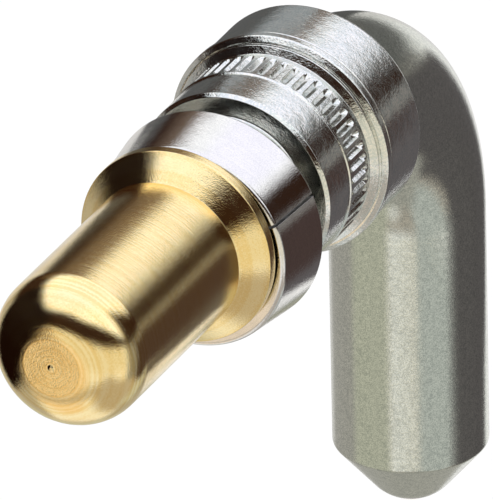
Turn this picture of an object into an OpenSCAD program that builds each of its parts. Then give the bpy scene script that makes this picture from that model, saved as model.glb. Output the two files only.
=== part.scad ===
// Right-angle male power contact for a mixed-layout D-shaped connector.
// A gold pin and a bent solder tail are pressed into the two ends of a knurled body.
// A split spring clip sits loose on the body's neck, between the pin's collar and the body's land.
// The pin's tip points along -Y, the tail points down, and Z = 0 is the top of the board.

/* [Pin] */
// Diameter of the mating pin
pin_d = 3.6; // [2.8:0.05:4.2]
// Free length of the pin, from its tip to the root of the collar
pin_l = 5.8; // [4:0.02:12]
// Radius of the turned nose
nose_r = 1.15; // [0.3:0.05:1.35]
// Diameter of the pip that the turning tool leaves at the centre of the tip
pip_d = 0.14; // [0.05:0.01:0.3]
// Height of the pip
pip_h = 0.03; // [0.01:0.01:0.1]

/* [Collar] */
// Diameter of the collar
collar_d = 4.66; // [4.5:0.02:4.8]
// Length of the collar's cone
collar_cone_l = 0.46; // [0.1:0.02:1.5]
// Width of the collar's rim
collar_rim_l = 0.26; // [0.1:0.02:1]
// Diameter of the spigot pressed into the body
spigot_d = 1.8; // [1.2:0.05:2]
// Length of the spigot inside the body
spigot_l = 4.2; // [2.8:0.1:4.5]

/* [Retention clip] */
// Outer diameter of the clip's front end
clip_front_d = 4.84; // [4.84:0.01:5.1]
// Outer diameter of the clip's flared rear end
clip_rear_d = 5.22; // [5.1:0.01:5.6]
// Length of the clip
clip_l = 1.63; // [1:0.01:2.4]
// Thickness of the spring sheet
clip_t = 0.18; // [0.1:0.01:0.22]
// Radius of the bend from the sleeve to the front lip
clip_bend_r = 0.12; // [0.1:0.01:0.24]
// Width of the slit
slit_w = 0.16; // [0.05:0.01:0.6]
// Place of the slit round the axis, in degrees upwards from the right-hand side
slit_a = 24; // [-180:1:180]
// How far the loose clip sits to the right of the contact's axis
clip_side = 0.06; // [0:0.01:0.12]
// How far the loose clip hangs below the contact's axis
clip_drop = 0.19; // [0:0.01:0.2]

/* [Body] */
// Gap between the clip's rear end and the land, for the latching rib of the insulator
latch_gap = 0.97; // [0.3:0.01:2]
// Diameter of the plain land at the front of the body
land_d = 4.7; // [4.2:0.02:4.9]
// Length of the front land
land_l = 1.11; // [0.5:0.01:3]
// Chamfer on the front edge of the land
land_chamfer = 0.08; // [0.02:0.01:0.2]
// Diameter over the knurl
knurl_d = 4.76; // [4.4:0.02:5]
// Length of the knurl
knurl_l = 0.9; // [0.4:0.02:2]
// Number of grooves round the knurl
knurl_n = 52; // [24:1:56]
// Width of one knurl groove at the surface
knurl_groove_w = 0.18; // [0.1:0.01:0.22]
// Width of the floor of one knurl groove
knurl_floor_w = 0.04; // [0.02:0.01:0.09]
// Depth of the knurl grooves
knurl_groove_h = 0.09; // [0.05:0.01:0.25]
// Length of the plain land behind the knurl
rear_land_l = 0.13; // [0.05:0.01:1]
// Diameter of the step in front of the disc
step_d = 5.04; // [5:0.02:5.28]
// Length of the step, with the cone on its front
step_l = 0.18; // [0.15:0.01:0.5]
// Length of the step's cone
step_cone_l = 0.1; // [0.02:0.01:0.12]
// Diameter of the disc
disc_d = 5.38; // [5.38:0.02:7]
// Thickness of the disc, with the cone on its front
disc_l = 0.28; // [0.22:0.01:0.6]
// Width of the flat ring at the foot of the disc's front, which stops against the insulator
disc_seat_w = 0.05; // [0.02:0.01:0.12]
// Length of the disc's cone
disc_cone_l = 0.08; // [0.02:0.01:0.15]
// Chamfer on the rear edge of the disc
disc_chamfer = 0.04; // [0.01:0.01:0.045]
// Diameter of the relief groove behind the disc
relief_d = 5; // [4.4:0.05:5.1]
// Width of the relief groove
relief_l = 0.06; // [0.03:0.01:0.08]
// Diameter of the barrel behind the relief groove
barrel_d = 5.28; // [5.12:0.02:5.3]
// Length of the barrel, with the relief groove
barrel_l = 1.68; // [1.66:0.02:4]
// Chamfer on the rear edge of the barrel
barrel_chamfer = 0.12; // [0.02:0.01:0.3]

/* [Solder tail] */
// Diameter of the tail's rod
tail_d = 3.6; // [2.8:0.05:4]
// Radius of the bend, at the middle of the rod
bend_r = 4.64; // [3:0.02:8]
// Length of the rod pressed into the barrel
tail_seat_l = 1.5; // [0.8:0.1:1.6]
// Height of the contact's axis above the board
axis_h = 8.1; // [6:0.1:14]
// Straight length of the tail below the top of the board
tail_below = 2.48; // [1.8:0.02:6]
// Half angle of the tail's cone
cone_a = 40; // [20:1:60]
// Radius of the round end of the cone
cone_end_r = 1.2; // [0.3:0.05:1.3]

/* [Clearances] */
// Play of the clip along the groove, in front of its lip and behind it
lip_play = 0.1; // [0.03:0.01:0.15]
// Least radial air between the neck and the clip's sleeve
sleeve_air = 0.24; // [0.05:0.01:0.3]
// Least radial air between the groove's floor and the clip's lip
lip_air = 0.04; // [0.02:0.01:0.08]
// Least radial depth of the lip behind the neck's edge
lip_catch = 0.05; // [0.03:0.01:0.1]

/* [Hidden] */
$fn = 96;
gold = [0.86, 0.68, 0.3];
nickel = [0.72, 0.72, 0.72];
bright_tin = [0.78, 0.8, 0.8];
satin_tin = [0.66, 0.67, 0.64];

// Cutters and joined solids run past a face by this much
past = 0.5;

// Radial play of the clip, and the neck, lip and groove that follow from its sleeve
clip_hang = norm([clip_side, clip_drop]);
neck_d = clip_front_d - 2 * (clip_t + clip_hang + sleeve_air);
lip_d = neck_d - 2 * (clip_hang + lip_catch);
groove_d = lip_d - 2 * (clip_hang + lip_air);

// Places along the contact's axis, measured from the tip
collar_s = pin_l + collar_cone_l;
groove_s = collar_s + collar_rim_l;
clip_s = groove_s + lip_play;
neck_s = clip_s + clip_t + lip_play;
land_s = clip_s + clip_l + latch_gap;
knurl_s = land_s + land_l;
rear_land_s = knurl_s + knurl_l;
step_s = rear_land_s + rear_land_l;
disc_s = step_s + step_l;
barrel_s = disc_s + disc_l;
body_end_s = barrel_s + barrel_l;
reach = body_end_s + bend_r;

// Radius at which the cone runs into its round end, and the depth of that place and of the ball's centre
cone_touch_r = cone_end_r * cos(cone_a);
cone_touch_l = (tail_d / 2 - cone_touch_r) / tan(cone_a);
cone_ball_l = cone_touch_l - cone_end_r * sin(cone_a);

// Lays a solid turned about Z along the contact's axis, with its Z = 0 at the tip
module on_contact_axis() {
    translate([0, -reach, axis_h]) rotate([-90, 0, 0]) children();
}

// Right half of a turned profile's nose: a flat end with a quarter-round edge
module nose_profile(r, edge_r) {
    square([r - edge_r, edge_r]);
    translate([r - edge_r, edge_r]) intersection() {
        circle(edge_r);
        translate([0, -edge_r]) square(edge_r);
    }
}

module contact_pin() {
    color(gold) on_contact_axis() {
        rotate_extrude() {
            nose_profile(pin_d / 2, nose_r);
            polygon([
                [0, nose_r],
                [pin_d / 2, nose_r],
                [pin_d / 2, pin_l],
                [collar_d / 2, collar_s],
                [collar_d / 2, groove_s],
                [spigot_d / 2, groove_s],
                [spigot_d / 2, groove_s + spigot_l],
                [0, groove_s + spigot_l]
            ]);
        }
        translate([0, 0, -pip_h]) cylinder(d1 = pip_d / 2, d2 = pip_d, h = pip_h);
    }
}

// Section of the clip: a flared sleeve whose front end is bent inwards to a lip
module clip_profile() {
    front_r = clip_front_d / 2;
    rear_r = clip_rear_d / 2;
    bend_c = [front_r - clip_bend_r, clip_bend_r];
    difference() {
        union() {
            polygon([
                [lip_d / 2, 0],
                [bend_c[0], 0],
                bend_c,
                [front_r, clip_bend_r],
                [rear_r, clip_l],
                [rear_r - clip_t, clip_l],
                [front_r - clip_t, clip_t],
                [lip_d / 2, clip_t]
            ]);
            translate(bend_c) circle(clip_bend_r);
        }
        polygon([
            [lip_d / 2 - past, clip_t],
            [front_r - clip_t, clip_t],
            [rear_r - clip_t, clip_l],
            [lip_d / 2 - past, clip_l]
        ]);
    }
}

module retention_clip() {
    color(nickel) translate([clip_side, 0, -clip_drop]) on_contact_axis()
        translate([0, 0, clip_s]) difference() {
            rotate_extrude() clip_profile();
            rotate(-slit_a) translate([0, -slit_w / 2, -past])
                cube([clip_rear_d, slit_w, clip_l + 2 * past]);
        }
}

// Outer half section of the body, from the neck to the barrel, with the knurl still plain
module body_profile() {
    polygon([
        [0, groove_s],
        [groove_d / 2, groove_s],
        [groove_d / 2, neck_s],
        [neck_d / 2, neck_s],
        [neck_d / 2, land_s],
        [land_d / 2 - land_chamfer, land_s],
        [land_d / 2, land_s + land_chamfer],
        [land_d / 2, knurl_s],
        [knurl_d / 2, knurl_s],
        [knurl_d / 2, rear_land_s],
        [land_d / 2, rear_land_s],
        [land_d / 2, step_s],
        [step_d / 2, step_s + step_cone_l],
        [step_d / 2, disc_s],
        [step_d / 2 + disc_seat_w, disc_s],
        [disc_d / 2, disc_s + disc_cone_l],
        [disc_d / 2, barrel_s - disc_chamfer],
        [disc_d / 2 - disc_chamfer, barrel_s],
        [relief_d / 2, barrel_s],
        [relief_d / 2, barrel_s + relief_l],
        [barrel_d / 2, barrel_s + relief_l],
        [barrel_d / 2, body_end_s - barrel_chamfer],
        [barrel_d / 2 - barrel_chamfer, body_end_s],
        [0, body_end_s]
    ]);
}

// Section of one knurl groove, cut inwards from X = 0, with sloping flanks and a narrow floor
module knurl_groove_profile() {
    polygon([
        [-knurl_groove_h, -knurl_floor_w / 2],
        [0, -knurl_groove_w / 2],
        [past, -knurl_groove_w / 2],
        [past, knurl_groove_w / 2],
        [0, knurl_groove_w / 2],
        [-knurl_groove_h, knurl_floor_w / 2]
    ]);
}

module knurled_body() {
    color(bright_tin) on_contact_axis() difference() {
        rotate_extrude() body_profile();
        for (i = [0 : knurl_n - 1])
            rotate((i + 0.5) * 360 / knurl_n) translate([knurl_d / 2, 0, knurl_s])
                linear_extrude(knurl_l) knurl_groove_profile();
        translate([0, 0, groove_s - past]) cylinder(d = spigot_d, h = spigot_l + past);
        translate([0, 0, body_end_s - tail_seat_l]) cylinder(d = tail_d, h = tail_seat_l + past);
    }
}

// Pointed end of the tail, as a half section that hangs from Z = 0
module tail_point_profile() {
    intersection() {
        union() {
            polygon([
                [0, 0],
                [tail_d / 2, 0],
                [cone_touch_r, -cone_touch_l],
                [0, -cone_touch_l]
            ]);
            translate([0, -cone_ball_l]) circle(cone_end_r);
        }
        translate([0, -tail_d]) square([tail_d, tail_d]);
    }
}

module solder_tail() {
    color(satin_tin) {
        on_contact_axis() translate([0, 0, body_end_s - tail_seat_l]) cylinder(d = tail_d, h = tail_seat_l);
        translate([0, -bend_r, axis_h - bend_r]) rotate([90, 0, 90])
            rotate_extrude(angle = 90) translate([bend_r, 0]) circle(d = tail_d);
        translate([0, 0, -tail_below]) {
            cylinder(d = tail_d, h = tail_below + axis_h - bend_r);
            rotate_extrude() tail_point_profile();
        }
    }
}

contact_pin();
retention_clip();
knurled_body();
solder_tail();
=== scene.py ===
import bpy
import numpy as np
from mathutils import Matrix, Vector


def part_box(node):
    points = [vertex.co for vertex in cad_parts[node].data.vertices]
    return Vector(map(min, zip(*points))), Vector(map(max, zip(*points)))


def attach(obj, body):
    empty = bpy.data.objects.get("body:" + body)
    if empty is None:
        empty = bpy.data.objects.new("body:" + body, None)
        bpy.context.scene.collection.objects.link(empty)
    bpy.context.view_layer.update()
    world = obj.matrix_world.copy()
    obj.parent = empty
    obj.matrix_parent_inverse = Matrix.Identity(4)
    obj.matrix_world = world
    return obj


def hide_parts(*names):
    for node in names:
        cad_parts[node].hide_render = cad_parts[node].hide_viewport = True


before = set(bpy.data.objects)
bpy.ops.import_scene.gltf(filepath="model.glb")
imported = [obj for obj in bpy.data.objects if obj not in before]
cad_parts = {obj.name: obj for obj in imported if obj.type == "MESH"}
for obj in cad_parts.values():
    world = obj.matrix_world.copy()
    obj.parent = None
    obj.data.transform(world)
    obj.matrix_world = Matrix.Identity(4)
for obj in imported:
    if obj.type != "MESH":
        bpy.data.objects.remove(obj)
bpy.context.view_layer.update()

# The contact pin is turned from a copper alloy and gold plated. Its round nose keeps the mark of the
# parting tool, and its conical collar holds the loose clip. The spigot behind it is pressed into the body.
# Sizes are millimetres: those in _S run along the axis from the tip, those in _R out from the axis.
MM = 0.001
UM = 0.000001
pin_low, pin_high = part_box("contact_pin")
body_low, body_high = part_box("knurled_body")
axis_z = (body_low.z + body_high.z) / 2
PIP_R = 0.07
PIP_H = 0.03
PIN_R = 1.8
NOSE_R = 1.15
COLLAR_ROOT_S = 5.8
ROOT_LINE_W = 0.06
ROOT_LINE_H = 0.035
COLLAR_S = 6.26
SPIGOT_R = 0.9
HAIR_EDGE = 0.01
CRISP_EDGE = 0.02
FINE_EDGE = 0.03
EASED_EDGE = 0.04
SOFT_EDGE = 0.05
ROUND_EDGE = 0.06
PIN_EDGE_STEPS = 16
PIN_COLUMNS = 240
tip_y = pin_low.y + PIP_H * MM
collar_r = (pin_high.x - pin_low.x) / 2 / MM
groove_s = (body_low.y - tip_y) / MM
spigot_end = (pin_high.y - tip_y) / MM
END_LEANS = ((0, -1, 0), (0, 1, 0))
GOLD = (0.96, 0.79, 0.43, 1)
GOLD_DEEP = (0.91, 0.68, 0.29, 1)


def filleted(corners, steps=8):
    """Chain of corners, each given as (along, out, edge radius), with every inner corner replaced by an arc
    that touches both sides: it starts radius * tan(turn / 2) before the corner, and its direction turns
    evenly. Returns the points and their normals, which lie to the left of the chain's direction."""
    corners = np.asarray(corners, float)
    points = corners[:, :2]
    radii = corners[1:-1, 2:, None]
    sides = np.diff(points, axis=0)
    heading = np.unwrap(np.arctan2(sides[:, 1], sides[:, 0]))
    turn = np.diff(heading)[:, None, None]
    angle = heading[:-1, None, None] + turn * np.linspace(0, 1, steps)[None, :, None]
    first = np.stack([np.cos(heading[:-1]), np.sin(heading[:-1])], -1)[:, None, :]
    start = points[1:-1, None, :] - first * radii * np.tan(np.abs(turn) / 2)
    side = np.sign(turn)
    centre = start + side * radii * np.concatenate([-first[..., 1:], first[..., :1]], -1)
    spoke = np.concatenate([np.sin(angle), -np.cos(angle)], -1)
    arcs = (centre + side * radii * spoke).reshape(-1, 2)
    ends = np.stack([-np.sin(heading[[0, -1]]), np.cos(heading[[0, -1]])], -1)
    outline = np.concatenate([points[:1], arcs, points[-1:]])
    return outline, np.concatenate([ends[:1], -spoke.reshape(-1, 2), ends[1:]])


def round_grid(rows, columns):
    """Faces of a grid whose columns close on themselves: each quad joins two rows and two columns."""
    row, column = np.meshgrid(np.arange(rows - 1), np.arange(columns), indexing="ij")
    following = (column + 1) % columns
    return np.stack([
        row * columns + column, (row + 1) * columns + column,
        (row + 1) * columns + following, row * columns + following], -1).reshape(-1, 4)


def smooth_mesh(name, corners, faces, normals):
    """Object of these corners and faces, shaded by the exact normal of the surface at each corner."""
    mesh = bpy.data.meshes.new(name)
    mesh.from_pydata(np.asarray(corners).tolist(), [], faces)
    mesh.polygons.foreach_set("use_smooth", np.ones(len(mesh.polygons), bool))
    lengths = np.linalg.norm(normals, axis=1, keepdims=True)
    mesh.normals_split_custom_set_from_vertices((normals / lengths).tolist())
    made = bpy.data.objects.new(name, mesh)
    bpy.context.scene.collection.objects.link(made)
    return made


def closed_shell(name, blocks, leans, poles, pole_leans):
    """Mesh of round grids laid end to end, in metres, closed by a fan of triangles from the first ring to the
    first pole and from the last ring to the second. Where a grid with several times as many columns follows
    or ends, each wide column meets its narrow ones in one many-sided face."""
    starts = np.cumsum([0] + [block.shape[0] * block.shape[1] for block in blocks])
    faces = []
    for block, start in zip(blocks, starts):
        faces += (round_grid(*block.shape[:2]) + start).tolist()
    for near, far, start in zip(blocks[:-1], blocks[1:], starts[1:]):
        ring = start - near.shape[1] + np.arange(near.shape[1])
        other = start + np.arange(far.shape[1])
        wide, narrow = (ring, other) if ring.size < other.size else (other, ring)
        share = narrow.size // wide.size
        column = np.arange(wide.size)[:, None]
        strip = np.concatenate([
            wide[column], narrow[(share * column + np.arange(share + 1)) % narrow.size],
            wide[(column + 1) % wide.size]], 1)
        faces += (strip if wide is ring else strip[:, ::-1]).tolist()
    front, back = starts[-1], starts[-1] + 1
    ring = np.arange(blocks[0].shape[1])
    faces += np.stack([0 * ring + front, ring, (ring + 1) % ring.size], -1).tolist()
    ring = np.arange(blocks[-1].shape[1])
    last = starts[-1] - ring.size
    faces += np.stack([0 * ring + back, last + (ring + 1) % ring.size, last + ring], -1).tolist()
    return smooth_mesh(
        name, np.concatenate([block.reshape(-1, 3) for block in blocks] + [poles]), faces,
        np.concatenate([lean.reshape(-1, 3) for lean in leans] + [pole_leans]))


def about_axis(along, out, angle, side=0.0, height=0.0):
    """Points at a distance along the contact's axis from the tip, a distance out from it, and an angle round
    it from the right-hand side upwards, shifted sideways and in height. Takes millimetres, gives metres."""
    return np.stack([
        MM * (side + out * np.cos(angle)), tip_y + MM * along + 0 * angle,
        axis_z + MM * (height + out * np.sin(angle))], -1)


def ring_leans(lean_s, lean_r, lean_t, angle):
    """Normals given along the axis, outwards and round the axis, turned to each angle round it."""
    return np.stack([
        lean_r * np.cos(angle) - lean_t * np.sin(angle), lean_s + 0 * angle,
        lean_r * np.sin(angle) + lean_t * np.cos(angle)], -1)


def turned(name, outline, normal, columns):
    """Half section carried round the contact's axis, from a pole on the axis to a pole on the axis."""
    angle = np.linspace(0, 2 * np.pi, columns, endpoint=False)[None, :]
    along, out = outline[1:-1, :1], outline[1:-1, 1:]
    ends = outline[[0, -1]]
    return closed_shell(
        name, [about_axis(along + 0 * angle, out, angle)],
        [ring_leans(normal[1:-1, :1], normal[1:-1, 1:], 0, angle)],
        about_axis(ends[:, 0], ends[:, 1], np.zeros(2)), END_LEANS)


def place(tree, kind, sockets, **settings):
    """Adds one shader node: each socket, by name or number, takes a value or another node's output."""
    made = tree.nodes.new("ShaderNode" + kind)
    for key, value in settings.items():
        setattr(made, key, value)
    for key, value in sockets.items():
        if isinstance(value, bpy.types.NodeSocket):
            tree.links.new(value, made.inputs[key])
        else:
            made.inputs[key].default_value = value
    return made


def new_group(name, inputs, outputs):
    """Shader node group with named inputs and value outputs."""
    group = bpy.data.node_groups.new(name, "ShaderNodeTree")
    for title, kind in inputs:
        group.interface.new_socket(title, in_out="INPUT", socket_type=kind)
    for title in outputs:
        group.interface.new_socket(title, in_out="OUTPUT", socket_type="NodeSocketFloat")
    return group, group.nodes.new("NodeGroupInput").outputs, group.nodes.new("NodeGroupOutput").inputs


# Plating grain, for every plated piece: fine crystal grain, and broader patches where the plate is duller.
plating_grain, given, wanted = new_group(
    "plating_grain",
    (("Place", "NodeSocketVector"), ("Grain Scale", "NodeSocketFloat"), ("Patch Scale", "NodeSocketFloat")),
    ("Grain", "Patch"))
fine = place(plating_grain, "TexNoise", {"Vector": given["Place"], "Scale": given["Grain Scale"],
                                         "Detail": 2.0, "Roughness": 0.6})
broad = place(plating_grain, "TexNoise", {"Vector": given["Place"], "Scale": given["Patch Scale"],
                                          "Detail": 3.0, "Roughness": 0.55})
plating_grain.links.new(fine.outputs[0], wanted["Grain"])
plating_grain.links.new(broad.outputs[0], wanted["Patch"])

# Turning lines, for every turned piece: the rings that the tool leaves, along a cylinder and across a face.
turning_lines, given, wanted = new_group(
    "turning_lines",
    (("Place", "NodeSocketVector"), ("Axis Height", "NodeSocketFloat"), ("Line Scale", "NodeSocketFloat")),
    ("Lines",))
parts = place(turning_lines, "SeparateXYZ", {0: given["Place"]})
rise = place(turning_lines, "Math", {0: parts.outputs["Z"], 1: given["Axis Height"]}, operation="SUBTRACT")
spot = place(turning_lines, "CombineXYZ", {"X": parts.outputs["X"], "Y": rise.outputs[0]})
off_axis = place(turning_lines, "VectorMath", {0: spot.outputs[0]}, operation="LENGTH")
travel = place(turning_lines, "Math", {0: parts.outputs["Y"], 1: off_axis.outputs["Value"]},
               operation="SUBTRACT")
ridges = place(turning_lines, "TexNoise",
               {"W": travel.outputs[0], "Scale": given["Line Scale"], "Detail": 2.0}, noise_dimensions="1D")
turning_lines.links.new(ridges.outputs[0], wanted["Lines"])

# Sockets of a Mix node that mixes colours, the share of the patches in a plate's colour, and the levels of
# noise that its colour and its shine run between.
MIX_FIRST = 6
MIX_SECOND = 7
MIX_RESULT = 2
PATCH_SHARE = 0.4
TINT_FROM = 0.55
TINT_TO = 0.85
SHINE_FROM = 0.35
SHINE_TO = 0.65


def scaled_sum(tree, value, factor, rest):
    """Output of one shader node: value * factor + rest."""
    return place(tree, "Math", {0: value, 1: factor, 2: rest}, operation="MULTIPLY_ADD").outputs[0]


def plated(name, colours, grain_mm, patch_mm, line_mm, line_share, shine, relief_um):
    """Plated metal. The colour runs from the first to the second with the grain and a share of the turning
    lines, the roughness between the two values of shine with the patches, and the grain, the turning lines
    and the patches raise the surface by the three heights of relief_um, in micrometres."""
    material = bpy.data.materials.new(name)
    material.use_nodes = True
    tree = material.node_tree
    tree.nodes.clear()
    spot = place(tree, "TexCoord", {}).outputs["Object"]
    plate = place(tree, "Group", {"Place": spot, "Grain Scale": 1 / (grain_mm * MM),
                                  "Patch Scale": 1 / (patch_mm * MM)}, node_tree=plating_grain)
    rings = place(tree, "Group", {"Place": spot, "Axis Height": axis_z,
                                  "Line Scale": 1 / (line_mm * MM)}, node_tree=turning_lines)
    grain, patch, lines = plate.outputs["Grain"], plate.outputs["Patch"], rings.outputs["Lines"]
    mixed = scaled_sum(tree, lines, line_share, scaled_sum(tree, patch, PATCH_SHARE, grain))
    drift = place(tree, "MapRange", {"Value": mixed, "From Min": TINT_FROM + line_share / 2,
                                     "From Max": TINT_TO + line_share / 2})
    tint = place(tree, "Mix", {0: drift.outputs[0], MIX_FIRST: colours[0], MIX_SECOND: colours[1]},
                 data_type="RGBA")
    rough = place(tree, "MapRange", {"Value": patch, "From Min": SHINE_FROM, "From Max": SHINE_TO,
                                     "To Min": shine[0], "To Max": shine[1]})
    height = 0.0
    for noise, relief in zip((grain, lines, patch), relief_um):
        height = scaled_sum(tree, noise, relief * UM, height)
    bump = place(tree, "Bump", {"Height": height, "Strength": 1.0, "Distance": 1.0})
    metal = place(tree, "BsdfPrincipled", {
        "Base Color": tint.outputs[MIX_RESULT], "Metallic": 1.0, "Roughness": rough.outputs[0],
        "Normal": bump.outputs[0]})
    place(tree, "OutputMaterial", {"Surface": metal.outputs[0]})
    return material


outline, normal = filleted([
    (-PIP_H, 0, 0), (-PIP_H, PIP_R / 2, FINE_EDGE), (0, PIP_R, ROUND_EDGE), (0, PIN_R, NOSE_R),
    (COLLAR_ROOT_S - ROOT_LINE_W, PIN_R, CRISP_EDGE), (COLLAR_ROOT_S, PIN_R - ROOT_LINE_H, HAIR_EDGE),
    (COLLAR_S, collar_r, SOFT_EDGE), (groove_s, collar_r, EASED_EDGE), (groove_s, SPIGOT_R, FINE_EDGE),
    (spigot_end, SPIGOT_R, SOFT_EDGE), (spigot_end, 0, 0)], PIN_EDGE_STEPS)
pin = turned("pin_shell", outline, normal, PIN_COLUMNS)
pin.data.materials.append(plated(
    "gold_plate", (GOLD, GOLD_DEEP), grain_mm=0.03, patch_mm=0.4, line_mm=0.05, line_share=1.0,
    shine=(0.09, 0.14), relief_um=(3.0, 1.2, 3.0)))
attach(pin, "contact")
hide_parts("contact_pin")

# The knurled body is turned from brass bar and tin plated bright. The clip turns on its neck, its front land
# and rolled knurl fill the insulator's cavity, its thin disc stops against the insulator, and the barrel
# behind the disc is bored to take the solder tail. The pin's spigot is pressed into its front.
body_end = (body_high.y - tip_y) / MM
disc_r = (body_high.x - body_low.x) / 2 / MM
GROOVE_R = 1.313
NECK_S = 6.9
NECK_R = 1.801
LAND_S = 9.22
LAND_R = 2.35
LAND_CHAMFER = 0.08
KNURL_S = 10.33
KNURL_R = 2.38
KNURL_EDGE = 0.03
REAR_LAND_S = 11.23
STEP_S = 11.36
STEP_R = 2.52
STEP_CONE_L = 0.1
DISC_S = 11.54
DISC_SEAT_W = 0.05
DISC_CONE_L = 0.08
BARREL_S = 11.82
RELIEF_R = 2.5
RELIEF_L = 0.06
BARREL_R = 2.64
BARREL_CHAMFER = 0.12
BARREL_EDGE = 0.1
TAIL_R = 1.8
SEAT_L = 1.5
TOOTH_COUNT = 52
PLAIN_COLUMNS = 4
KNURL_ROWS = 40
GROOVE_DEPTH = 0.108
GROOVE_HALF = 0.095
GROOVE_EASE = 0.06
GROOVE_STOPS = (0.004, 0.008, 0.045, 0.086, 0.0905, 0.0955, 0.12)
GROOVE_MARGIN = 0.03
GROOVE_END_L = 0.16
TINY = 1e-9
TIN = (0.84, 0.82, 0.76, 1)
TIN_COOL = (0.64, 0.68, 0.65, 1)


def knurled(name, outline, normal, first):
    """Half section carried round the axis, with the knurl pressed into its rows from the first one on: the
    depth of a groove falls evenly with the distance from its middle line, but for a short rounding at the
    floor and at the edge. Past the ends of its middle line the groove runs out in half an oval."""
    pitch = 2 * np.pi / TOOTH_COUNT
    stops = np.array(GROOVE_STOPS)
    across = np.concatenate([[-pitch / 2 * KNURL_R], -stops[::-1], [0], stops])
    fine = ((np.arange(TOOTH_COUNT)[:, None] + 0.5) * pitch + across / KNURL_R).reshape(1, -1)
    across = np.tile(across, TOOTH_COUNT)[None, :]
    plain = np.arange(TOOTH_COUNT * PLAIN_COLUMNS)[None, :] * pitch / PLAIN_COLUMNS
    rows = slice(1, first), slice(first, first + KNURL_ROWS), slice(first + KNURL_ROWS, -1)
    along, out = outline[rows[1], :1], outline[rows[1], 1:]
    from_middle = along - (KNURL_S + REAR_LAND_S) / 2
    half_line = (REAR_LAND_S - KNURL_S) / 2 - GROOVE_MARGIN - GROOVE_END_L
    squeeze = GROOVE_HALF / GROOVE_END_L
    beyond = np.maximum(np.abs(from_middle) - half_line, 0) * np.sign(from_middle) * squeeze
    far = np.maximum(np.hypot(across, beyond), TINY)
    share = np.clip(1 - far / GROOVE_HALF, 0, 1)
    edge, floor = np.minimum(share, GROOVE_EASE), np.maximum(share + GROOVE_EASE - 1, 0)
    even = 2 * GROOVE_EASE * (1 - GROOVE_EASE)
    sunk = GROOVE_DEPTH * (edge ** 2 - floor ** 2 + 2 * GROOVE_EASE * (share - edge)) / even
    slope = -GROOVE_DEPTH * 2 * np.minimum(edge, 1 - share) / even / GROOVE_HALF
    ends = outline[[0, -1]]
    return closed_shell(
        name,
        [about_axis(outline[rows[0], :1] + 0 * plain, outline[rows[0], 1:], plain),
         about_axis(along + 0 * fine, out - sunk, fine),
         about_axis(outline[rows[2], :1] + 0 * plain, outline[rows[2], 1:], plain)],
        [ring_leans(normal[rows[0], :1], normal[rows[0], 1:], 0, plain),
         ring_leans(slope * beyond / far * squeeze, 1 + 0 * far, slope * across / far, fine),
         ring_leans(normal[rows[2], :1], normal[rows[2], 1:], 0, plain)],
        about_axis(ends[:, 0], ends[:, 1], np.zeros(2)), END_LEANS)


outline, normal = filleted([
    (spigot_end, 0, 0), (spigot_end, SPIGOT_R, CRISP_EDGE), (groove_s, SPIGOT_R, CRISP_EDGE),
    (groove_s, GROOVE_R, CRISP_EDGE), (NECK_S, GROOVE_R, EASED_EDGE), (NECK_S, NECK_R, SOFT_EDGE),
    (LAND_S, NECK_R, ROUND_EDGE), (LAND_S, LAND_R - LAND_CHAMFER, FINE_EDGE),
    (LAND_S + LAND_CHAMFER, LAND_R, FINE_EDGE), (KNURL_S - KNURL_EDGE, LAND_R, CRISP_EDGE),
    (KNURL_S, KNURL_R, HAIR_EDGE), (REAR_LAND_S, KNURL_R, HAIR_EDGE),
    (REAR_LAND_S + KNURL_EDGE, LAND_R, CRISP_EDGE), (STEP_S, LAND_R, CRISP_EDGE),
    (STEP_S + STEP_CONE_L, STEP_R, CRISP_EDGE), (DISC_S, STEP_R, HAIR_EDGE),
    (DISC_S, STEP_R + DISC_SEAT_W, CRISP_EDGE), (DISC_S + DISC_CONE_L, disc_r, ROUND_EDGE),
    (BARREL_S, disc_r, EASED_EDGE), (BARREL_S, RELIEF_R, CRISP_EDGE),
    (BARREL_S + RELIEF_L, RELIEF_R, CRISP_EDGE), (BARREL_S + RELIEF_L, BARREL_R, EASED_EDGE),
    (body_end - BARREL_CHAMFER, BARREL_R, BARREL_EDGE), (body_end, BARREL_R - BARREL_CHAMFER, ROUND_EDGE),
    (body_end, TAIL_R, EASED_EDGE), (body_end - SEAT_L, TAIL_R, CRISP_EDGE), (body_end - SEAT_L, 0, 0)])
knurl_rows = np.linspace(KNURL_S + KNURL_EDGE, REAR_LAND_S - KNURL_EDGE, KNURL_ROWS)
before = int(np.nonzero((outline[:, 0] < knurl_rows[0]) & (outline[:, 1] > LAND_R))[0][-1]) + 1
outline = np.insert(outline, before, np.stack([knurl_rows, 0 * knurl_rows + KNURL_R], -1), axis=0)
normal = np.insert(normal, before, np.tile([[0.0, 1.0]], (KNURL_ROWS, 1)), axis=0)
body = knurled("body_shell", outline, normal, before)
body.data.materials.append(plated(
    "bright_tin", (TIN, TIN_COOL), grain_mm=0.04, patch_mm=0.25, line_mm=0.05, line_share=0.3,
    shine=(0.08, 0.16), relief_um=(3.4, 0.4, 9.0)))
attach(body, "contact")
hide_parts("knurled_body")

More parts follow.
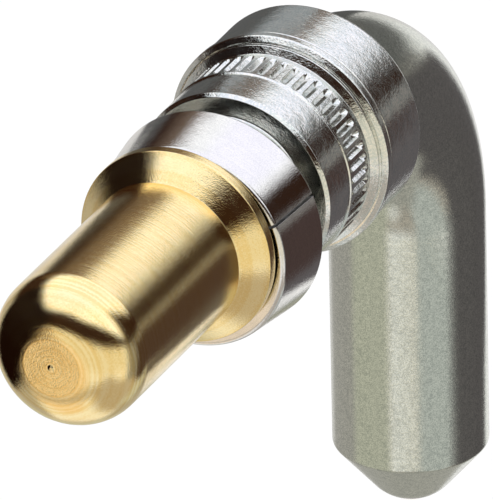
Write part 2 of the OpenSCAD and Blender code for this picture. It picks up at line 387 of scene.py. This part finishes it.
# The retention clip is stamped from thin spring sheet, rolled to a split sleeve that flares to the rear, and
# nickel plated. Its front end is bent inwards to a lip that turns loosely in the groove behind the collar.
clip_low, clip_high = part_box("retention_clip")
clip_front = (clip_low.y - tip_y) / MM
clip_rear = (clip_high.y - tip_y) / MM
SHEET = 0.18
CLIP_FRONT_R = 2.42
CLIP_REAR_R = 2.61
CLIP_BEND_R = 0.12
LIP_R = 1.552
SLIT_HALF = 0.035
SLIT_ANGLE = np.radians(24)
SLIT_RIM_R = 0.002
SLIT_STEPS = 5
CLIP_EDGE_STEPS = 10
CLIP_COLUMNS = 260
CLIP_SIDE = 0.06
CLIP_DROP = 0.19
NICKEL = (0.81, 0.79, 0.75, 1)
NICKEL_DULL = (0.69, 0.68, 0.65, 1)
# Sheared slit sides: a dull edge, painted darker still as the shade inside the narrow slit
SHEARED_SLIT_SHADE = (0.22, 0.21, 0.20, 1)
SHEARED_SLIT_SHADE_DARK = (0.12, 0.11, 0.11, 1)


def split_sleeve(name):
    """Closed sheet section, lip, bend and sleeve, carried round the clip's axis from one side of the slit
    to the other. Towards the slit the section shrinks inwards by a quarter round, and a flat strip closes it.
    The sheared sides of the slit take the second material: a dull edge, darkened with painted shade."""
    middle = (clip_front + SHEET + clip_rear) / 2, (CLIP_FRONT_R + CLIP_REAR_R) / 2 - SHEET
    section, lean = filleted([
        (*middle, 0), (clip_front + SHEET, CLIP_FRONT_R - SHEET, SOFT_EDGE),
        (clip_front + SHEET, LIP_R, SOFT_EDGE), (clip_front, LIP_R, SOFT_EDGE),
        (clip_front, CLIP_FRONT_R, CLIP_BEND_R), (clip_rear, CLIP_REAR_R, SOFT_EDGE),
        (clip_rear, CLIP_REAR_R - SHEET, SOFT_EDGE), (*middle, 0)], CLIP_EDGE_STEPS)
    section, lean = section[:-1], lean[:-1]
    # Once from slit to slit: how far the section shrinks, how far it stands from the slit's edge and how far
    # the normal swings towards the slit.
    quarter = np.linspace(0, np.pi / 2, SLIT_STEPS)
    shrink = np.concatenate([1 - np.sin(quarter), np.zeros(CLIP_COLUMNS), 1 - np.sin(quarter[::-1])])[:, None]
    stand = np.concatenate([1 - np.cos(quarter), np.ones(CLIP_COLUMNS), 1 - np.cos(quarter[::-1])])[:, None]
    swing = np.concatenate([-np.cos(quarter), np.zeros(CLIP_COLUMNS), np.cos(quarter[::-1])])[:, None]
    share = np.concatenate([0 * quarter, np.linspace(0, 1, CLIP_COLUMNS), 0 * quarter + 1])[:, None]
    spots = section - SLIT_RIM_R * shrink[..., None] * lean
    along, out = spots[..., 0], spots[..., 1]
    edge = np.arcsin((SLIT_HALF + SLIT_RIM_R * stand) / out)
    angle = SLIT_ANGLE + edge + (2 * np.pi - 2 * edge) * share
    calm = np.sqrt(1 - swing ** 2)
    normals = ring_leans(lean[:, 0] * calm, lean[:, 1] * calm, swing, angle)
    grid = about_axis(along, out, angle, CLIP_SIDE, -CLIP_DROP)
    turns, count = grid.shape[:2]
    ring = np.arange(count)
    caps = [ring[::-1].tolist(), ((turns - 1) * count + ring).tolist()]
    quads = round_grid(turns, count)[:, ::-1].tolist()
    sleeve = smooth_mesh(name, grid.reshape(-1, 3), quads + caps, normals.reshape(-1, 3))
    sleeve.data.polygons.foreach_set("material_index", [0] * len(quads) + [1] * len(caps))
    return sleeve


clip = split_sleeve("clip_shell")
clip.data.materials.append(plated(
    "spring_nickel", (NICKEL, NICKEL_DULL), grain_mm=0.03, patch_mm=0.5, line_mm=0.08, line_share=0.2,
    shine=(0.07, 0.12), relief_um=(2.2, 0.3, 5.0)))
# Slit sides: dull sheared edge, with painted shade making them darker than the plate
clip.data.materials.append(plated(
    "sheared_edge_painted_shade", (SHEARED_SLIT_SHADE, SHEARED_SLIT_SHADE_DARK), grain_mm=0.03, patch_mm=0.1, line_mm=0.04, line_share=0.5,
    shine=(0.4, 0.6), relief_um=(2.0, 0.5, 0.0)))
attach(clip, "clip")
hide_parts("retention_clip")

# The solder tail is round rod bent through a right angle and tin plated satin, with a blunt cone at its
# lower end that leads it into the board. Its straight seat is pressed into the barrel of the body.
tail_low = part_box("solder_tail")[0]
bend_r = -body_high.y / MM
TAIL_BELOW = 2.48
CONE_HALF_ANGLE = np.radians(40)
CONE_EDGE_R = 0.12
CONE_END_R = 1.2
TAIL_COLUMNS = 200
BEND_ROWS = 60
BALL_ROWS = 14
TAIL_END_LEANS = ((0, -1, 0), (0, 0, -1))
SATIN = (0.74, 0.75, 0.66, 1)
SATIN_DULL = (0.46, 0.48, 0.43, 1)


def bent_rod(name):
    """Rod section carried along a straight seat, a quarter bend and a straight leg. The rod's radius and lean
    follow a half section over the length of the path: a flat start, a cylinder, a cone and a round end."""
    bend = bend_r * np.pi / 2
    whole = SEAT_L + bend + axis_z / MM - bend_r + TAIL_BELOW
    point = whole - TAIL_BELOW - tail_low.z / MM
    outline, normal = filleted([
        (0, 0, 0), (0, TAIL_R, SOFT_EDGE), (whole, TAIL_R, CONE_EDGE_R),
        (whole + TAIL_R / np.tan(CONE_HALF_ANGLE), 0, 0)])
    rows = SEAT_L + np.linspace(0, bend, BEND_ROWS)
    sweep = np.linspace(np.pi / 2 - CONE_HALF_ANGLE, 0, BALL_ROWS)
    spoke = np.stack([np.cos(sweep), np.sin(sweep)], -1)
    seat = outline[:, 0] < SEAT_L
    leg = ~seat
    leg[-1] = False
    outline = np.concatenate([
        outline[seat], np.stack([rows, 0 * rows + TAIL_R], -1), outline[leg],
        [[point - CONE_END_R, 0]] + CONE_END_R * spoke])
    normal = np.concatenate([normal[seat], np.tile([[0.0, 1.0]], (BEND_ROWS, 1)), normal[leg], spoke])
    length, radius = outline[:, 0], outline[:, 1]
    turn = np.clip((length - SEAT_L) / bend_r, 0, np.pi / 2)
    ahead = np.stack([0 * turn, np.cos(turn), -np.sin(turn)], -1)
    upward = np.stack([0 * turn, np.sin(turn), np.cos(turn)], -1)
    middle = np.stack([
        0 * turn, np.minimum(length, SEAT_L) - SEAT_L - bend_r + bend_r * np.sin(turn),
        axis_z / MM - bend_r * (1 - np.cos(turn)) - np.maximum(length - SEAT_L - bend, 0)], -1)
    angle = np.linspace(0, 2 * np.pi, TAIL_COLUMNS, endpoint=False)[None, :, None]
    spokes = np.cos(angle) * np.array([1.0, 0, 0]) + np.sin(angle) * upward[:, None, :]
    grid = MM * (middle[:, None, :] + radius[:, None, None] * spokes)
    normals = normal[:, None, 1:] * spokes + normal[:, None, :1] * ahead[:, None, :]
    return closed_shell(name, [grid[1:-1]], [normals[1:-1]], MM * middle[[0, -1]], TAIL_END_LEANS)


tail = bent_rod("tail_rod")
tail.data.materials.append(plated(
    "satin_tin", (SATIN, SATIN_DULL), grain_mm=0.03, patch_mm=0.12, line_mm=0.1, line_share=0.0,
    shine=(0.1, 0.16), relief_um=(2.4, 0.0, 2.0)))
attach(tail, "contact")
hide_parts("solder_tail")

# Studio: a pale floor below the part and plain white surroundings. The metal mirrors a soft box overhead, a
# dark room above the horizon, pale ground below it, and a few cards that stand close to the part.
FLOOR_Z = -25
FLOOR_EDGE = 2000
FLOOR_CORNERS = (
    (-FLOOR_EDGE, -FLOOR_EDGE, FLOOR_Z), (FLOOR_EDGE, -FLOOR_EDGE, FLOOR_Z),
    (FLOOR_EDGE, FLOOR_EDGE, FLOOR_Z), (-FLOOR_EDGE, FLOOR_EDGE, FLOOR_Z))
FLOOR_WHITE = (1, 1, 1, 1)
CARD_BLACK = (0, 0, 0, 1)
CARD_ROUGHNESS = 0.9
BACK_Y = 6
DUSK_EDGE = (
    (1.2, 7.5), (1.2, 1.5), (1.4, -0.5), (1.9, -1.9), (2.9, -3.7), (3.4, -6.8), (5.5, -8.2), (7.7, -8.6),
    (10.5, -10), (10.5, 7.5))
DARK_EDGE = ((10.5, 7.5), (10.5, -10), (60, -40), (60, 7.5))
DIM_EDGE = ((-17.5, 7.5), (-11, 4.6), (-8.6, 4.2), (-3.5, 4.2), (-3.5, 14), (-17.5, 14))
TAIL_CARD = ((10, -13, -20), (10, -1.5, -20), (10, -1.5, -1), (10, -13, -1))
TAIL_DUSK_CARD = ((8, 0, -20), (8, 6, -20), (8, 6, 4), (8, 0, 4))
CONE_CARD = ((-8, -10, -12), (8, -10, -12), (8, 8, -12), (-8, 8, -12))
TAIL_FRONT_CARD = ((-16, -9, -14), (-0.4, -9, -14), (-0.4, -9, 2.2), (-16, -9, 2.2))
SOFT_BOX_FRONT = ((-30, -50.8, 40), (12, -50.8, 40), (12, -38, 40), (-30, -38, 40))
BARREL_CARD = ((-7.5, 2, 12.5), (-2.5, 2, 12.5), (-2.5, 2, 16), (-7.5, 2, 16))
LEFT_CARD = ((-16, -50, -8), (-16, -13, -8), (-16, -13, 26), (-16, -50, 26))


def flat_card(name, corners, colour):
    """Flat stage panel of one matt colour through these corners, in millimetres, and its shader."""
    mesh = bpy.data.meshes.new(name)
    mesh.from_pydata((np.array(corners) * MM).tolist(), [], [tuple(range(len(corners)))])
    panel = bpy.data.objects.new(name, mesh)
    bpy.context.scene.collection.objects.link(panel)
    paint = bpy.data.materials.new(name)
    paint.use_nodes = True
    shader = paint.node_tree.nodes["Principled BSDF"]
    shader.inputs["Base Color"].default_value = colour
    shader.inputs["Roughness"].default_value = CARD_ROUGHNESS
    shader.inputs["Specular IOR Level"].default_value = 0.0
    mesh.materials.append(paint)
    return panel, shader


def mirrored_card(name, corners, colour):
    """Card that only the metal sees: it shines evenly with its colour and throws no shadow."""
    panel, shader = flat_card(name, corners, CARD_BLACK)
    shader.inputs["Emission Color"].default_value = colour
    shader.inputs["Emission Strength"].default_value = 1.0
    panel.visible_camera = panel.visible_diffuse = panel.visible_shadow = False


floor = flat_card("floor", FLOOR_CORNERS, FLOOR_WHITE)[0]
floor.visible_glossy = False
mirrored_card("dusk_card", [(x, BACK_Y, z) for x, z in DUSK_EDGE], (0.125, 0.115, 0.12, 1))
mirrored_card("dark_card", [(x, BACK_Y, z) for x, z in DARK_EDGE], (0.074, 0.050, 0.046, 1))
mirrored_card("dim_card", [(x, BACK_Y, z) for x, z in DIM_EDGE], (0.11, 0.11, 0.11, 1))
mirrored_card("tail_card", TAIL_CARD, (0.60, 0.63, 0.62, 1))
mirrored_card("tail_dusk_card", TAIL_DUSK_CARD, (0.135, 0.125, 0.13, 1))
mirrored_card("cone_card", CONE_CARD, (0.47, 0.46, 0.43, 1))
mirrored_card("tail_front_card", TAIL_FRONT_CARD, (0.60, 0.60, 0.51, 1))
mirrored_card("soft_box_front", SOFT_BOX_FRONT, (1.20, 1.22, 1.30, 1))
mirrored_card("barrel_card", BARREL_CARD, (0.36, 0.38, 0.40, 1))
mirrored_card("left_card", LEFT_CARD, (0.008, 0.003, 0.002, 1))

world = bpy.data.worlds.new("studio")
bpy.context.scene.world = world
world.use_nodes = True
sky = world.node_tree
sky.nodes.clear()
look = place(sky, "TexCoord", {}).outputs["Generated"]
GRAZING = 0.001
HORIZON_FROM = 0.03
HORIZON_TO = 0.12
ROOM = (0.030, 0.012, 0.006, 1)
DAYLIGHT = (1.25, 1.28, 1.35, 1)
BOX_CORE = (1.24, 1.25, 1.44, 1)
EVEN_FADE = (0.1, 0.1, 0.1, 0.1)
SILL_SLOPE = 0.65
BELOW = ((0, 0, -1), (1, 0, 0), (0, 1, 0))
SOFT_BOX = ((0, 0, 1), (1, -0.44, 0), (0, 1, 0))
SOFT_BOX_LEFT = ((0, 0, 1), (1, -0.11, 0), (0, 1, 0))


def grey(level, warmth=0.0):
    """Colour of a wall: a level of light, with red lifted and blue lowered by the warmth."""
    return (level * (1 + warmth), level, level * (1 - warmth), 1)


def wall(shade, axes, sides, soft, colour):
    """Lays a four-sided panel of one colour over the surroundings, square to the first of three axes. Its
    sides (left, right, bottom, top) are slopes, distance along the second or third axis over distance out,
    and each fades over its own soft width."""
    ahead = place(sky, "VectorMath", {0: look, 1: axes[0]}, operation="DOT_PRODUCT").outputs["Value"]
    safe = place(sky, "Math", {0: ahead, 1: GRAZING}, operation="MAXIMUM").outputs[0]
    mask = place(sky, "Math", {0: ahead, 1: GRAZING}, operation="GREATER_THAN").outputs[0]
    for axis, first in ((axes[1], 0), (axes[2], 2)):
        reach = place(sky, "VectorMath", {0: look, 1: axis}, operation="DOT_PRODUCT").outputs["Value"]
        slope = place(sky, "Math", {0: reach, 1: safe}, operation="DIVIDE").outputs[0]
        for side, sign in ((first, 1), (first + 1, -1)):
            ramp = place(sky, "MapRange", {"Value": slope, "From Min": sides[side] - sign * soft[side],
                                           "From Max": sides[side] + sign * soft[side]},
                         interpolation_type="SMOOTHSTEP").outputs[0]
            mask = place(sky, "Math", {0: mask, 1: ramp}, operation="MULTIPLY").outputs[0]
    mixed = place(sky, "Mix", {0: mask, MIX_FIRST: shade, MIX_SECOND: colour}, data_type="RGBA")
    return mixed.outputs[MIX_RESULT]


def upright(azimuth):
    """Axes out, across and up of a wall that stands across a compass azimuth, in degrees from the right-hand
    side towards the back."""
    turn = np.radians(azimuth)
    return (np.cos(turn), np.sin(turn), 0), (-np.sin(turn), np.cos(turn), 0), (0, 0, 1)


# White ground, warm at the front left, grey on the left and paler behind that, and dark at the back right
shade = wall(grey(1.0), upright(-118), (-0.42, 0.42, -3, 3), EVEN_FADE, (0.98, 0.82, 0.63, 1))
shade = wall(shade, upright(165), (-1, 2.1, -2, 3), (0.15, 0.4, 0.1, 0.1), grey(0.46, 0.04))
shade = wall(shade, upright(125), (-0.35, 0.35, -3, 3), EVEN_FADE, grey(0.73, 0.02))
shade = wall(shade, upright(-32), (-0.5, 0.6, -3, 3), EVEN_FADE, grey(0.98, 0.02))
shade = wall(shade, upright(36), (-0.84, 0.75, -2, 3), (0.05, 0.1, 0.1, 0.1), grey(0.3))
# Dark room from the horizon up, dim at the back and brown at the back left, with a line along the horizon
height = place(sky, "SeparateXYZ", {0: look}).outputs["Z"]
above = place(sky, "MapRange", {"Value": height, "From Min": HORIZON_FROM, "From Max": HORIZON_TO},
              interpolation_type="SMOOTHSTEP").outputs[0]
room = place(sky, "Mix", {0: above, MIX_FIRST: shade, MIX_SECOND: ROOM}, data_type="RGBA")
shade = wall(room.outputs[MIX_RESULT], upright(90), (-0.6, 0.6, 0.0, 0.6), (0.1, 0.1, 0.05, 0.1), grey(0.16))
shade = wall(shade, upright(120), (-0.4, 0.36, 0.38, 0.95), (0.15, 0.1, 0.15, 0.2), (0.17, 0.12, 0.09, 1))
shade = wall(shade, upright(50), (-0.6, 0.6, -0.12, 0.02), (0.1, 0.1, 0.03, 0.03), grey(0.22, 0.05))
# Ground that rises in front, two darker strips on the ground below, and a window with a slanting sill
shade = wall(shade, upright(-60), (-1.3, 1.5, -0.5, 0.12), (0.1, 0.2, 0.05, 0.04), (0.88, 0.83, 0.70, 1))
shade = wall(shade, BELOW, (-1, 0.5, -1.3, -0.85), (0.2, 0.12, 0.12, 0.12), grey(0.48, 0.1))
shade = wall(shade, BELOW, (0.15, 1.3, -1.3, 0.6), (0.12, 0.12, 0.12, 0.12), grey(0.48, 0.1))
window_out, window_side = upright(-20)[:2]
sill_up = (SILL_SLOPE * window_side[0], SILL_SLOPE * window_side[1], 1)
window = window_out, window_side, sill_up
shade = wall(shade, window, (-1.8, 0.35, 0.45, 4), (0.4, 0.15, 0.08, 0.1), DAYLIGHT)
# Soft box overhead: its straight left edge, its soft outer part and its brighter core
shade = wall(shade, SOFT_BOX_LEFT, (-1.12, 0.5, -1.1, 1.2), (0.1, 0.2, 0.15, 0.12), DAYLIGHT)
shade = wall(shade, SOFT_BOX, (-0.91, 0.88, -1.1, 1.75), (0.2, 0.3, 0.15, 0.5), DAYLIGHT)
shade = wall(shade, SOFT_BOX, (-0.6, 0.5, -0.85, 1.5), (0.15, 0.15, 0.15, 0.15), BOX_CORE)
rays = place(sky, "LightPath", {})
mirrored = place(sky, "Background", {"Color": shade, "Strength": 1.0})
plain = place(sky, "Background", {"Color": grey(1.0), "Strength": 1.0})
seen = place(sky, "MixShader",
             {0: rays.outputs["Is Glossy Ray"], 1: plain.outputs[0], 2: mirrored.outputs[0]})
place(sky, "OutputWorld", {"Surface": seen.outputs[0]})

lamp = bpy.data.lights.new("soft_fill", "AREA")
lamp.shape = "SQUARE"
lamp.size = 0.3
lamp.energy = 0.05
fill = bpy.data.objects.new("soft_fill", lamp)
fill.location = (0.05, 0.05, 0.4)
fill.visible_glossy = False
bpy.context.scene.collection.objects.link(fill)

# Camera: a long lens from the front right and above, as the photograph was taken.
VIEW_AZIMUTH = np.radians(26.135)
VIEW_ELEVATION = np.radians(27.554)
VIEW_ROLL = np.radians(-1.261)
VIEW_AIM = Vector((-0.011, -8.307, 6.302)) * MM
VIEW_DISTANCE = 402.75 * MM
LENS = 1300
SENSOR = 36
backward = Vector((
    np.sin(VIEW_AZIMUTH) * np.cos(VIEW_ELEVATION), -np.cos(VIEW_AZIMUTH) * np.cos(VIEW_ELEVATION),
    np.sin(VIEW_ELEVATION)))
level = Vector((np.cos(VIEW_AZIMUTH), np.sin(VIEW_AZIMUTH), 0))
plumb = backward.cross(level)
camera_right = np.cos(VIEW_ROLL) * level + np.sin(VIEW_ROLL) * plumb
camera_up = np.cos(VIEW_ROLL) * plumb - np.sin(VIEW_ROLL) * level
camera_data = bpy.data.cameras.new("camera")
camera_data.lens = LENS
camera_data.sensor_width = SENSOR
camera_data.clip_start = 0.01
camera_data.clip_end = 10
camera = bpy.data.objects.new("camera", camera_data)
camera.matrix_world = Matrix.Translation(VIEW_AIM + backward * VIEW_DISTANCE) @ Matrix(
    (camera_right, camera_up, backward)).transposed().to_4x4()
bpy.context.scene.collection.objects.link(camera)
bpy.context.scene.camera = camera
bpy.context.scene.view_settings.view_transform = "Standard"
